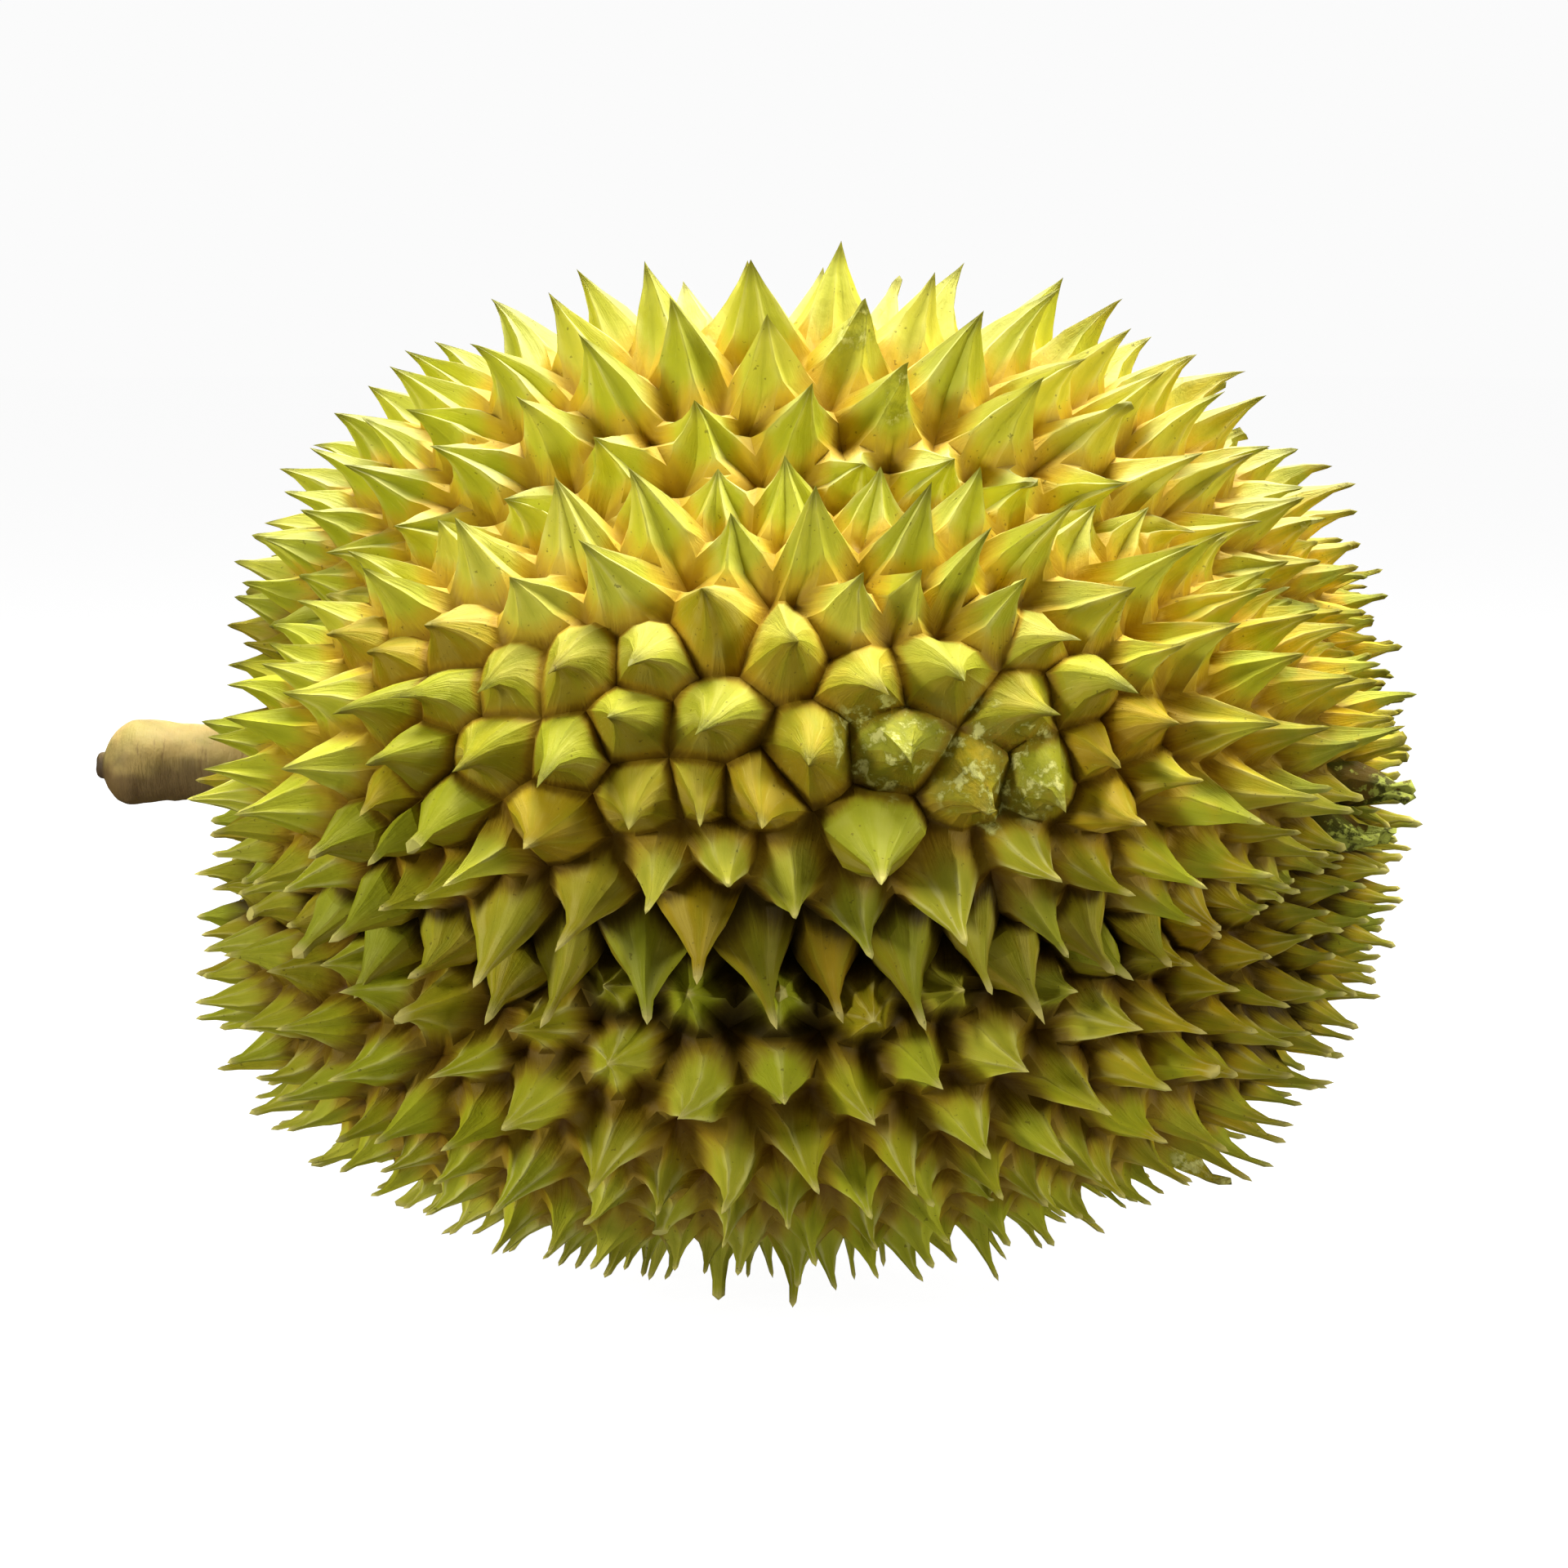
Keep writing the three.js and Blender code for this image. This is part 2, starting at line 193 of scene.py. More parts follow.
# %% Keep each spine's foot, tip and height
FLOOR_REACH = 0.0002
TORN_OFF = 0.6
STALK_CROWD = 0.4
WANDER = 0.08
RIPE_WANDER = 0.25
STUBBY_DROP = 0.58
STUBBY_RISE = 0.38
STUBBY_BUILD = (1.3, 1.75)
CREST_ENDS = (0.06, 0.1)
CREST_BOTTOM = (0.072, 0.082)
CREST_TOP = (0.132, 0.14)
STUBBY_FROM = (0.1, 0.5)
SCAR_EDGE = (0.7, 1.2)
RIPE_END = (0.07, 0.11)
RIPE_SHORTER = (-0.05, 0.3)
STALK_CLEARING = (0.014, 0.027)


class Spine:
    """One spine as it was found: the middle of its foot, its tip and the way that it stands."""

    def __init__(self, island):
        faces = set(island)
        corners = sorted({v for f in island for v in f.verts}, key=lambda v: v.index)
        rim = [v for v in corners if any(f not in faces for f in v.link_faces)]
        inner = [v.co.copy() for v in corners if all(f in faces for f in v.link_faces)]
        self.foot = sum((v.co for v in rim), Vector()) / len(rim)
        self.up = sum((f.normal * f.calc_area() for f in island), Vector()).normalized()
        self.tip = max(inner, key=lambda place: (place - self.foot).dot(self.up))
        worn = [place for place in inner if place.z < FLOOR_REACH]
        if worn:
            self.tip = sum(worn, Vector()) / len(worn)
        self.girth = sum((v.co - self.foot).length for v in rim) / len(rim)
        self.height = (self.tip - self.foot).dot(self.up)
        self.dice = random.Random("{:.4f} {:.4f} {:.4f}".format(*self.foot))
        stubby = 1 - between(*STUBBY_BUILD, self.height / self.girth)
        stubby *= 1 - between(*CREST_ENDS, abs(self.foot.x))
        stubby *= between(*CREST_BOTTOM, self.foot.z) * (1 - between(*CREST_TOP, self.foot.z))
        self.stubby = between(*STUBBY_FROM, stubby)
        self.corky = 1 - between(*SCAR_EDGE, (self.foot - SCAR).length / SCAR_REACH)
        self.ripe = between(*RIPE_END, self.foot.x)
        if not worn:
            self.settle_tip()

    def settle_tip(self):
        """Tears off, shortens or leans the tip, as the spine's place on the fruit asks."""
        self.tip = self.tip.lerp(self.foot, TORN_OFF * damage_at(self.foot))
        crowd = 1 - between(*STALK_CLEARING, off_stalk(self.foot)) if self.foot.x < 0 else 0
        crowd *= 1 + 0.5 * between(0, 0.01, self.foot.z - STALK_ROOT.z)
        self.tip = self.tip.lerp(self.foot, STALK_CROWD * crowd)
        self.tip = self.tip.lerp(self.foot, self.ripe * self.dice.uniform(*RIPE_SHORTER))
        wander = Vector([self.dice.uniform(-1, 1) for _ in range(3)])
        self.tip += wander * self.girth * (WANDER + RIPE_WANDER * max(self.ripe, self.stubby))
        bend = self.up * STUBBY_RISE - Vector((0, 0, STUBBY_DROP))
        self.tip += bend * self.girth * self.stubby
        self.tip.z = max(self.tip.z, 0)
        self.height = (self.tip - self.foot).dot(self.up)


husk.normal_update()
spines = [Spine(island) for island in islands]
heights = sorted(spine.height for spine in spines)
print("spine heights: %.4f to %.4f m" % (heights[0], heights[-1]))

# %% [markdown]
# ## Spines in the grooves
#
# Between two lobes the fruit has a groove. The spines in it stand in shade, and the finish
# paints them darker and browner as painted shade. A groove could be given by its angle round the
# fruit, but it can also be felt: a spine is in one when the feet round it stand farther from the
# fruit's long axis than its own.

# %% Tell which spines stand in the grooves
NEAR = 0.03
GROOVE_DEPTH = 0.005
BODY_MIDDLE = sum(spine.foot.z for spine in spines) / len(spines)


def from_axis(spine):
    return math.hypot(spine.foot.y, spine.foot.z - BODY_MIDDLE)


tree = KDTree(len(spines))
for number, spine in enumerate(spines):
    tree.insert(spine.foot, number)
tree.balance()
for spine in spines:
    around = [from_axis(spines[number]) for _, number, _ in tree.find_range(spine.foot, NEAR)]
    spine.sunk = between(0.0, GROOVE_DEPTH, sum(around) / len(around) - from_axis(spine))
print("spines in the grooves:", sum(spine.sunk > 0.5 for spine in spines))

# %% [markdown]
# ## From islands to feet
#
# Each island is dissolved into a single many-sided face, the spine's foot. What stays is a
# coarse skin of about a thousand feet that share their corners. Cones set on a smooth body would
# cut into it and into each other, but spines that grow from such a skin stay one closed rind.

# %% Dissolve every island into its foot
SEAT = len(spines)

for number, island in enumerate(islands):
    for face in island:
        face[owner] = number
bmesh.ops.delete(husk, geom=socket, context="FACES")
inside = [e for e in husk.edges if e not in valleys and e.is_manifold]
bmesh.ops.dissolve_edges(husk, edges=inside, use_verts=True, use_face_split=False)
gap = [e for e in husk.edges if e.is_boundary]
for face in bmesh.ops.edgeloop_fill(husk, edges=gap)["faces"]:
    face[owner] = SEAT
bmesh.ops.dissolve_verts(husk, verts=[v for v in husk.verts if len(v.link_edges) == 2])
husk.normal_update()
print("feet:", len(husk.faces), "closed:", all(e.is_manifold for e in husk.edges))

# %% [markdown]
# ## Pits and saddles
#
# On a durian the ridges of a spine don't end in the gaps. They sweep down and run on into the
# ridges of the next spines, over a low saddle, and the hollow between three spines is a deep
# pit. So each side of a foot is cut where its ridge will stand, the new points are lifted into a
# saddle, and the old corners are pressed in. A wide side gets two cuts, for a rounded ridge, and
# a narrow one gets a single cut.

# %% Work out the pits and the saddles
SADDLE_LIFT = 0.2
PIT_DEPTH = 0.2
UNDERSIDE_DEEPER = 0.5
UNDERSIDE_FLATTER = 0.7
STUBBY_FLATTER = 0.4
TURNED_UNDER = (0.2, -0.5)


def stubbiness(face):
    """How blocky the spine on a foot is; the stalk's seat counts as blocky."""
    return 1.0 if face[owner] == SEAT else spines[face[owner]].stubby


pits = {}
for vert in husk.verts:
    sides = [e.calc_length() for e in vert.link_edges]
    deeper = 1 + UNDERSIDE_DEEPER * between(*TURNED_UNDER, vert.normal.z)
    stubby = sum(stubbiness(f) for f in vert.link_faces) / len(vert.link_faces)
    pits[vert] = sum(sides) / len(sides) * PIT_DEPTH * deeper * (1 - STUBBY_FLATTER * stubby)
lifts = []
for number, edge in enumerate(husk.edges):
    edge[side_number] = number
    first, second = edge.verts
    out = (first.normal + second.normal).normalized()
    lift = SADDLE_LIFT * (1 - UNDERSIDE_FLATTER * between(*TURNED_UNDER, out.z))
    lift *= 1 - sum(stubbiness(f) for f in edge.link_faces) / 2
    lifts.append(out * (edge.calc_length() * lift + (pits[first] + pits[second]) / 2))
print("deepest pit: %.4f m" % max(pits.values()))

# %% Cut the feet's sides, lift the saddles and press the pits in
WIDE_SIDE = 0.0042

for vert, depth in pits.items():
    vert.co -= vert.normal * depth
wide = [e for e in husk.edges if e.calc_length() > WIDE_SIDE]
narrow = [e for e in husk.edges if e.calc_length() <= WIDE_SIDE]
bmesh.ops.bisect_edges(husk, edges=wide, cuts=2)
bmesh.ops.bisect_edges(husk, edges=narrow, cuts=1)
for vert in husk.verts:
    if len(vert.link_edges) == 2:
        vert.co += lifts[vert.link_edges[0][side_number]]
husk.normal_update()
print("points round the feet:", sum(len(f.verts) for f in husk.faces))

# %% [markdown]
# ## The shape of one spine
#
# A spine has an axis that leaves the skin straight and bends towards the tip, so it looks
# slightly hooked. Round the axis its foot shrinks to the tip in rings. How fast it shrinks makes
# it hollow-sided, like a tent, or full, like a bud, and the wide spines are hollow and the small
# and hanging ones full. In each ring the ridge points stand out and the points between them
# lie back on the straight line from ridge to ridge, which makes the flat flanks.
#
# Two kinds differ. The blocky spines on the crest keep the corners of their foot, so they have
# flat facets, only their tips bend over, and the darker ones are a little lower. At the
# blossom's scar the spines are blunt crumbs.

# %% How one spine's rings lie
HOLLOW_POWER = 1.12
BLUNT_RADIUS = 0.0005
BROKEN_RADIUS = 0.0016
CORKY_RADIUS = 0.0024
CORKY_SWELL = 0.6
BROKEN_SHARE = 0.03
GAP_WIDTH = 0.2
UNDERSIDE_SLENDER = 0.4
FLANK_HOLLOW = 0.98
FLANK_FULL = 1.22
SETTLED = 0.3
RIDGE_WIDTH = 0.16
BLOCKY = 0.8
LOW_BLOCK = 0.2
SMALL_GIRTH = (0.0045, 0.0085)
HANGING = (0.15, -0.45)
UNDERNEATH = (-0.25, -0.85)
SMALL_FULLER = 0.3
HANGING_FULLER = 0.7
STUBBY_FULLER = 0.3
RIPE_FULLER = 0.5
FULL_CHANCE = 0.15
HOOK_POWER = (1.3, 2.4)
STUBBY_HOOK = 1.2
TWIST = 0.25
RIDGE_STAND = (0.86, 1.18)


class Growth:
    """Where the ring points of one spine go at each share of its height."""

    def __init__(self, spine, ring):
        self.spine = spine
        dice = spine.dice
        small = 1 - between(*SMALL_GIRTH, spine.girth)
        hanging = between(*HANGING, spine.up.z)
        full = SMALL_FULLER * small + HANGING_FULLER * hanging + STUBBY_FULLER * spine.stubby
        full += RIPE_FULLER * spine.ripe + spine.corky
        full += dice.uniform(-FULL_CHANCE, FULL_CHANCE) * (1 + spine.stubby * 1.5)
        self.full = min(max(full, 0.0), 1.0)
        self.slender = UNDERSIDE_SLENDER * between(*UNDERNEATH, spine.up.z)
        self.hook = dice.uniform(*HOOK_POWER) + STUBBY_HOOK * spine.stubby
        self.twist = dice.uniform(-TWIST, TWIST)
        self.tint = dice.random()
        broken = dice.random() < BROKEN_SHARE
        self.blunt = BROKEN_RADIUS if broken else BLUNT_RADIUS * (1 + 0.7 * self.full)
        self.blunt = max(self.blunt, CORKY_RADIUS * spine.corky)
        spine.tip = spine.tip.lerp(spine.foot, LOW_BLOCK * spine.stubby * self.tint)
        spine.height = (spine.tip - spine.foot).dot(spine.up)
        self.lean = (spine.tip - spine.foot) - spine.up * spine.height
        self.points = []
        for vert in ring:
            arm = vert.co - spine.foot
            rise = arm.dot(spine.up)
            self.points.append((arm - spine.up * rise, rise, len(vert.link_edges) == 2))
        self.ridges = self.find_ridges(dice)

    def find_ridges(self, dice):
        """For each ridge point the middle of its own ridge and how far that stands out."""
        count = len(self.points)
        found = {}
        for k in range(count):
            if not self.points[k][2] or self.points[k - 1][2]:
                continue
            group = [k]
            while self.points[(group[-1] + 1) % count][2]:
                group.append((group[-1] + 1) % count)
            middle = sum((self.points[j][0] for j in group), Vector()) / len(group)
            strength = dice.uniform(*RIDGE_STAND) - 0.08 * self.full
            for j in group:
                found[j] = (middle, strength)
        return found

    def width(self, share):
        """The ring's width at a share of the height, where the foot is 1 wide."""
        hollow = (1 - share) ** HOLLOW_POWER
        stubby = self.spine.stubby
        gap = GAP_WIDTH * (1 - 0.6 * stubby) * between(0, 0.1, share)
        full = (1 - gap) * (1 - between(0.02 + 0.1 * stubby, 1.12 - 0.08 * stubby, share))
        width = (hollow + (full - hollow) * self.full) * (1 - self.slender * between(0, 0.6, share))
        width *= 1 + CORKY_SWELL * self.spine.corky * between(0, 0.5, share)
        return max(width, self.blunt / self.spine.girth)

    def flat_place(self, k, share):
        """A ridge point's place across the spine."""
        flat = self.points[k][0]
        middle, strength = self.ridges[k]
        free = 1 - BLOCKY * self.spine.stubby
        narrow = 1 - (1 - RIDGE_WIDTH) * between(0, SETTLED, share) * free
        stand = 1 + (strength - 1) * between(0, 0.5, share) * free
        return (middle + (flat - middle) * narrow) * self.width(share) * stand

    def place(self, k, share):
        """Where ring point k lies at a share of the spine's height."""
        spine = self.spine
        flat, rise, on_ridge = self.points[k]
        count = len(self.points)
        if on_ridge:
            across = self.flat_place(k, share)
        else:
            ends = self.flat_place(k - 1 if k else count - 1, share)
            ends = (ends + self.flat_place((k + 1) % count, share)) / 2
            own = flat * self.width(share)
            hollow = FLANK_HOLLOW + (FLANK_FULL - FLANK_HOLLOW) * self.full
            flat_sided = between(-0.08, SETTLED, share) * (1 - BLOCKY * spine.stubby)
            across = own.lerp(ends * hollow, flat_sided)
        across = Matrix.Rotation(self.twist * share, 3, spine.up) @ across
        rise *= (1 - share) ** (1.2 + 0.8 * self.full)
        middle = spine.foot + spine.up * (spine.height * share) + self.lean * share ** self.hook
        return middle + spine.up * rise + across


# %% [markdown]
# ## Growing the rings
#
# Every foot is extruded by itself, all of them in one step, and the new ring is moved to its
# place. The same is done for five rings, and then each top is poked, which gives the tip. While
# it grows, every face corner is told how far round and how high up it is, in a UV map, and how
# near to a ridge it is. The finish uses these to run its streaks from foot to tip and to pale
# the ridges.

# %% Prepare the growth and its records
RINGS = (0.1, 0.27, 0.5, 0.75, 0.93)
BARE_HEIGHT = 0.001
growth_map = husk.loops.layers.uv.new("growth")
ridge_mark = husk.loops.layers.float.new("ridge")
tint_mark = husk.faces.layers.float.new("tint")
sunk_mark = husk.verts.layers.float.new("sunk")
damage_mark = husk.verts.layers.float.new("damage")
corky_mark = husk.verts.layers.float.new("corky")
blocky_mark = husk.verts.layers.float.new("blocky")


def mark(loop, around, share, ridge):
    """Tells a face corner how far round and up it is, and how near to a ridge."""
    loop[growth_map].uv = (around, share)
    loop[ridge_mark] = ridge


def is_bare(number):
    """Whether a foot carries no spine: the stalk's seat and one foot in the blossom's scar."""
    return number == SEAT or spines[number].height < BARE_HEIGHT


growing = [f for f in husk.faces if not is_bare(f[owner])]
growths = {f[owner]: Growth(spines[f[owner]], f.verts) for f in growing}
print("spines that grow:", len(growing))

# %% How one ring is raised
def raise_ring(faces, low, high):
    """Extrudes every face by itself from one share of its spine's height to the next."""
    caps = bmesh.ops.extrude_discrete_faces(husk, faces=faces)["faces"]
    for cap in caps:
        growth = growths[cap[owner]]
        count = len(cap.loops)
        for k, loop in enumerate(cap.loops):
            loop.vert.co = growth.place(k, high)
            near = loop.link_loop_radial_next
            wall = near.face
            wall[owner] = cap[owner]
            first, second = float(growth.points[k][2]), float(growth.points[(k + 1) % count][2])
            mark(near, (k + 1) / count, high, second)
            mark(near.link_loop_next, k / count, high, first)
            mark(near.link_loop_next.link_loop_next, k / count, low, first)
            mark(near.link_loop_prev, (k + 1) / count, low, second)
    return caps


# %% Raise all rings and poke the tips
level = 0.0
for share in RINGS:
    growing = raise_ring(growing, level, share)
    level = share
poked = bmesh.ops.poke(husk, faces=growing)
for vert in poked["verts"]:
    spine = spines[vert.link_faces[0][owner]]
    vert.co = spine.tip
for face in poked["faces"]:
    for loop in face.loops:
        tip = loop.vert in poked["verts"]
        mark(loop, 0.5, 1.0 if tip else level, 0.5)
for face in husk.faces:
    if not is_bare(face[owner]):
        face[tint_mark] = growths[face[owner]].tint
print("faces:", len(husk.faces))

# %% [markdown]
# ## The seat and the bare foot in the scar
#
# Two feet carry no spine. Round the stalk the rind rises to a low collar with a socket in it, and
# at the far end one foot in the blossom's scar is bare. Each is extruded by itself a few times,
# and every new face is moved and drawn in, because that keeps the rind one closed skin. A
# separate collar would leave a seam.

# %% Shape the collar round the stalk
COLLAR_RADIUS = 0.0098
SOCKET_RADIUS = 0.0079
COLLAR_STEPS = ((COLLAR_RADIUS, 0.0022), (SOCKET_RADIUS + 0.0005, 0.0012), (SOCKET_RADIUS, -0.006))
SEAT_TONE = 0.3


def ring_on_stalk(face, radius, along):
    """Moves a face's corners to a circle round the stalk."""
    for vert in face.verts:
        arm = vert.co - STALK_ROOT
        arm -= STALK_OUT * arm.dot(STALK_OUT)
        vert.co = STALK_ROOT + STALK_OUT * along + arm.normalized() * radius


seat_face = next(f for f in husk.faces if f[owner] == SEAT)
seat_level = (seat_face.calc_center_median() - STALK_ROOT).dot(STALK_OUT)
for radius, along in COLLAR_STEPS:
    seat_face = bmesh.ops.extrude_discrete_faces(husk, faces=[seat_face])["faces"][0]
    ring_on_stalk(seat_face, radius, seat_level + along)
for face in husk.faces:
    if face[owner] == SEAT:
        for loop in face.loops:
            mark(loop, 0.5, SEAT_TONE, 0.5)
print("seat level along the stalk:", round(seat_level, 4))

# %% Shape the bare foot in the blossom's scar
SCAR_STEPS = ((0.72, 0.0012), (0.4, 0.0004), (0.2, -0.0012))

scar_face = next(f for f in husk.faces if is_bare(f[owner]) and f.calc_center_median().x > 0)
scar_middle = scar_face.calc_center_median()
scar_out = scar_face.normal.copy()
scar_rim = [v.co - scar_middle for v in scar_face.verts]
for width, rise in SCAR_STEPS:
    scar_face = bmesh.ops.extrude_discrete_faces(husk, faces=[scar_face])["faces"][0]
    for vert, arm in zip(scar_face.verts, scar_rim):
        vert.co = scar_middle + arm * width + scar_out * rise
print("scar face:", tuple(round(c, 4) for c in scar_middle))

# %% [markdown]
# ## Skin that was grown, not cut
#
# Real rind is never quite flat. Noise moves the whole skin by a few tenths of a millimetre, and
# a torn or crumbly place by more. Each corner also learns what it belongs to: a wound, a groove,
# the scar or the crest. Last, the edges are sorted. A steep turn, in or out, stays sharp, and
# the rest is shaded smooth, so a flank looks like one bent surface. On the blocky spines even a
# slight turn stays sharp, which gives them facets. Finer subdivision would do this too, but with
# many more faces on a thousand spines.

# %% Roughen the skin and mark what each corner belongs to
ROUGHNESS_OF_FORM = 0.0004
ROUGHNESS_SCALE = 160
TORN_FORM = 0.0014
TORN_SCALE = 600
CORKY_ROUGHER = 1.6

for vert in husk.verts:
    vert[damage_mark] = damage_at(vert.co)
    near = [spines[f[owner]] for f in vert.link_faces if not is_bare(f[owner])]
    count = max(len(near), 1)
    vert[sunk_mark] = sum(spine.sunk for spine in near) / count
    vert[corky_mark] = sum(spine.corky for spine in near) / count
    vert[blocky_mark] = sum(spine.stubby for spine in near) / count
    vert.co += noise.noise_vector(vert.co * ROUGHNESS_SCALE) * ROUGHNESS_OF_FORM
    torn = vert[damage_mark] + vert[corky_mark] * CORKY_ROUGHER
    vert.co += noise.noise_vector(vert.co * TORN_SCALE) * TORN_FORM * torn
    vert.co.z = max(vert.co.z, 0.0)
print("corners in wounds:", sum(v[damage_mark] > 0.5 for v in husk.verts))

# %% Sort the edges into sharp and smooth
SHARP_TURN = math.radians(55)
SHARP_RIDGE = math.radians(46)
FACETED = 0.7

for face in husk.faces:
    face.smooth = True
for edge in husk.edges:
    faceted = FACETED * sum(vert[blocky_mark] for vert in edge.verts) / 2
    edge.smooth = -SHARP_TURN < edge.calc_face_angle_signed() < SHARP_RIDGE * (1 - faceted)
print("sharp edges:", sum(not e.smooth for e in husk.edges), "of", len(husk.edges))

# %% Make the rind of it
bmesh.ops.triangulate(husk, faces=[f for f in husk.faces if len(f.verts) > 4])
husk_mesh = bpy.data.meshes.new("rind")
husk.to_mesh(husk_mesh)
husk.free()
rind = bpy.data.objects.new("rind", husk_mesh)
bpy.context.scene.collection.objects.link(rind)
soften = rind.modifiers.new("flat flanks", "WEIGHTED_NORMAL")
soften.keep_sharp = True
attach(rind, "root")
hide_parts("husk")
print("rind triangles:", sum(len(p.vertices) - 2 for p in husk_mesh.polygons))

# %% [markdown]
# ## The stalk
#
# The stalk is a stub of wood, about as thick as a finger. It has a slim neck and ends in a rounded
# knob with a small nub, where the fruit let go of the tree, a little below the stalk's middle. A
# spun profile would be perfectly round and straight. So a circle is extruded ring by ring along
# the centre line, and each ring gets its own radius and may sink a little. Noise then moves the
# skin in and out by a few tenths of a millimetre, so it looks grown.

# %% The stalk's profile
STALK_SIDES = 48
STALK_RINGS = 56
ROOT_RADIUS = 0.0078
NECK_RADIUS = 0.0074
KNOB_RADIUS = 0.0087
CAP_START = 0.81
CAP_END = 0.965
CAP_DROP = 0.0012
CAP_ROUND = 2.2
NUB_RADIUS = 0.0026
RING_CROWD = 1.35
LUMP = 0.0006


def stalk_radius(share):
    """The stalk's radius at a share of its length: root, neck, knob, rounded cap and nub."""
    root = ROOT_RADIUS + (NECK_RADIUS - ROOT_RADIUS) * between(0.2, 0.4, share)
    body = root + (KNOB_RADIUS - root) * between(0.58, 0.84, share)
    cap = min(max(share - CAP_START, 0) / (CAP_END - CAP_START), 1)
    nub = NUB_RADIUS * max(1 - (max(share - CAP_END, 0) / (1 - CAP_END)) ** 3, 0.0) ** 0.5
    return max(body * max(1 - cap ** CAP_ROUND, 0.0) ** 0.5, nub if share > CAP_START else 0)


print("knob: %.4f m thick, neck: %.4f m" % (2 * KNOB_RADIUS, 2 * NECK_RADIUS))

# %% Grow the stalk ring by ring
stalk = bmesh.new()
turn = STALK_OUT.to_track_quat("Z", "Y").to_matrix().to_4x4()
bmesh.ops.create_circle(stalk, cap_ends=False, segments=STALK_SIDES, radius=ROOT_RADIUS)
rim = list(stalk.edges)
bmesh.ops.transform(stalk, matrix=Matrix.Translation(STALK_ROOT) @ turn, verts=stalk.verts)
bmesh.ops.contextual_create(stalk, geom=rim)
below = STALK_ROOT
for number in range(1, STALK_RINGS):
    share = 1 - (1 - number / STALK_RINGS) ** RING_CROWD
    grown = bmesh.ops.extrude_edge_only(stalk, edges=rim)["geom"]
    rim = [e for e in grown if isinstance(e, bmesh.types.BMEdge)]
    ring = [v for v in grown if isinstance(v, bmesh.types.BMVert)]
    middle = STALK_ROOT + STALK_OUT * (STALK_LENGTH * share)
    middle.z -= CAP_DROP * between(CAP_START - 0.1, 1, share)
    for vert in ring:
        arm = vert.co - below
        arm -= STALK_OUT * arm.dot(STALK_OUT)
        vert.co = middle + arm.normalized() * stalk_radius(share)
    below = middle
top = bmesh.ops.contextual_create(stalk, geom=rim)["faces"]
bmesh.ops.poke(stalk, faces=top)
print("stalk rings:", STALK_RINGS)

# %% Roughen the bark and make the stalk of it
for vert in stalk.verts:
    lump = noise.noise_vector(vert.co * 110) * LUMP
    vert.co += lump + noise.noise_vector(vert.co * 420) * LUMP * 0.35
bmesh.ops.recalc_face_normals(stalk, faces=stalk.faces)
for face in stalk.faces:
    face.smooth = True
stalk_mesh = bpy.data.meshes.new("stalk_wood")
stalk.to_mesh(stalk_mesh)
stalk.free()
stalk_wood = bpy.data.objects.new("stalk_wood", stalk_mesh)
bpy.context.scene.collection.objects.link(stalk_wood)
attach(stalk_wood, "root")
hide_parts("stalk")
print("stalk faces:", len(stalk_mesh.polygons))

# %% [markdown]
# ## Writing finishes as sums
#
# A finish is a tree of shader nodes. Set up node by node, a simple sum takes many lines, so a
# small class wraps a socket: plus, minus, times and the like on it add the Math node for it.
# Colours go through Mix nodes instead, because a Math node turns a colour grey. Every other node
# comes from one method, which takes its type, its settings and what its sockets get.

# %% The socket class
class Signal:
    """One output socket of a finish. Arithmetic on it adds Math nodes."""

    def __init__(self, finish, socket):
        self.finish = finish
        self.socket = socket

    def math(self, operation, first, second):
        return self.finish.node("ShaderNodeMath", {"operation": operation}, {0: first, 1: second})

    def __add__(self, other):
        return self.math("ADD", self, other)

    def __mul__(self, other):
        return self.math("MULTIPLY", self, other)

    def __sub__(self, other):
        return self.math("SUBTRACT", self, other)

    def __rsub__(self, other):
        return self.math("SUBTRACT", other, self)

    __radd__ = __add__
    __rmul__ = __mul__

    def step(self, low, high):
        """0 below low and 1 above high, with a smooth step between; low may be the higher one."""
        settings = {"interpolation_type": "SMOOTHSTEP"}
        return self.finish.node("ShaderNodeMapRange", settings, {0: self, 1: low, 2: high})


